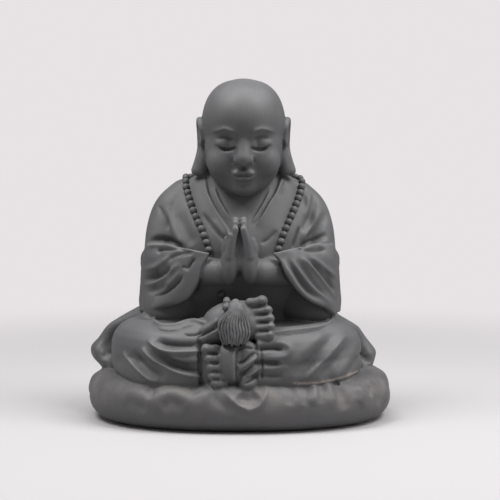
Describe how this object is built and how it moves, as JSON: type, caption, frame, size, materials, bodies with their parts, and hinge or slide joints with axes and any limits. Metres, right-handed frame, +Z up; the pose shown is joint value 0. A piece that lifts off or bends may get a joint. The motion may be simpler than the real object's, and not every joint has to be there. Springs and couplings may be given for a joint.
{
  "type": "praying seated buddha statue",
  "caption": "Bald robed monk seated cross-legged in prayer on a round-edged cushion, wearing a long bead necklace with a tassel; a dark matte garden statue.",
  "frame": {"origin": "middle of the underside of the cushion", "axes": "the figure faces -Y, its left hand is on the +X side, +Z is up"},
  "size_m": [0.3624, 0.2653, 0.3985],
  "materials": {
    "dark_stone": "matte"
  },
  "bodies": {
    "root": {"buddha_statue": "dark_stone"}
  },
  "joints": []
}
